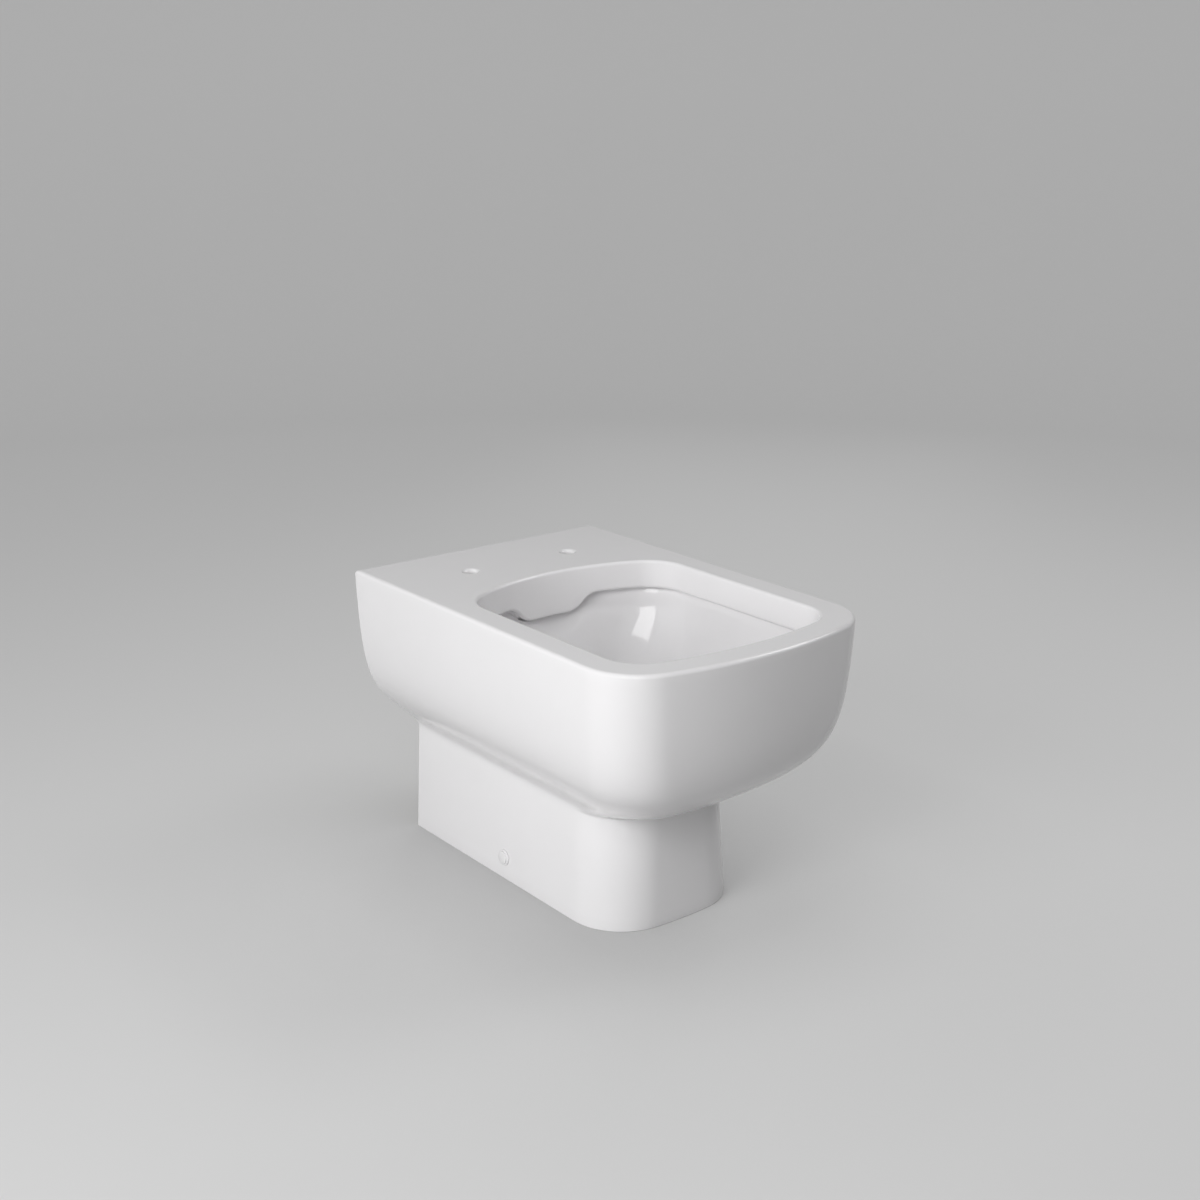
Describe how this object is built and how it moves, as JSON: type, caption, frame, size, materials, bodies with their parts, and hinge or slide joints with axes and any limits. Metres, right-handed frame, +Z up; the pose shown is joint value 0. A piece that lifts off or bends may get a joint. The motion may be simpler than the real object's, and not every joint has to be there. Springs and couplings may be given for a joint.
{
  "type": "toilet pan",
  "caption": "Floor-standing back-to-wall rimless toilet pan of white glazed china: soft square rim, tapered foot, seat holes, flush inlet, soil outlet and pull-off fixing covers.",
  "frame": {"origin": "on the floor, under the middle of the pan's width and depth", "axes": "+Z up, -Y towards the front of the bowl, +Y towards the wall behind the pan"},
  "size_m": [0.3836, 0.5697, 0.38],
  "materials": {
    "vitreous_china": "white gloss glaze",
    "seal_rubber": "matt moulded",
    "cap_plastic": "white gloss",
    "sleeve_plastic": "natural moulded",
    "zinc_steel": "bright zinc",
    "bracket_plastic": "moulded grey"
  },
  "bodies": {
    "pan": {"pan": "vitreous_china", "flush_inlet_seal": "seal_rubber", "left_sleeve": "sleeve_plastic", "left_washer": "zinc_steel", "left_side_screw": "zinc_steel", "left_bracket_nut": "zinc_steel", "left_floor_bracket": "bracket_plastic", "right_sleeve": "sleeve_plastic", "right_washer": "zinc_steel", "right_side_screw": "zinc_steel", "right_bracket_nut": "zinc_steel", "right_floor_bracket": "bracket_plastic"},
    "left_cap": {"left_cover_cap": "cap_plastic"},
    "right_cap": {"right_cover_cap": "cap_plastic"}
  },
  "joints": [
    {"name": "left_cap_pull", "type": "slide", "parent": "pan", "child": "left_cap", "axis": [-0.9988, 0, 0.0489], "range_m": [0, 0.015]},
    {"name": "right_cap_pull", "type": "slide", "parent": "pan", "child": "right_cap", "axis": [0.9988, 0, 0.0489], "range_m": [0, 0.015]}
  ]
}
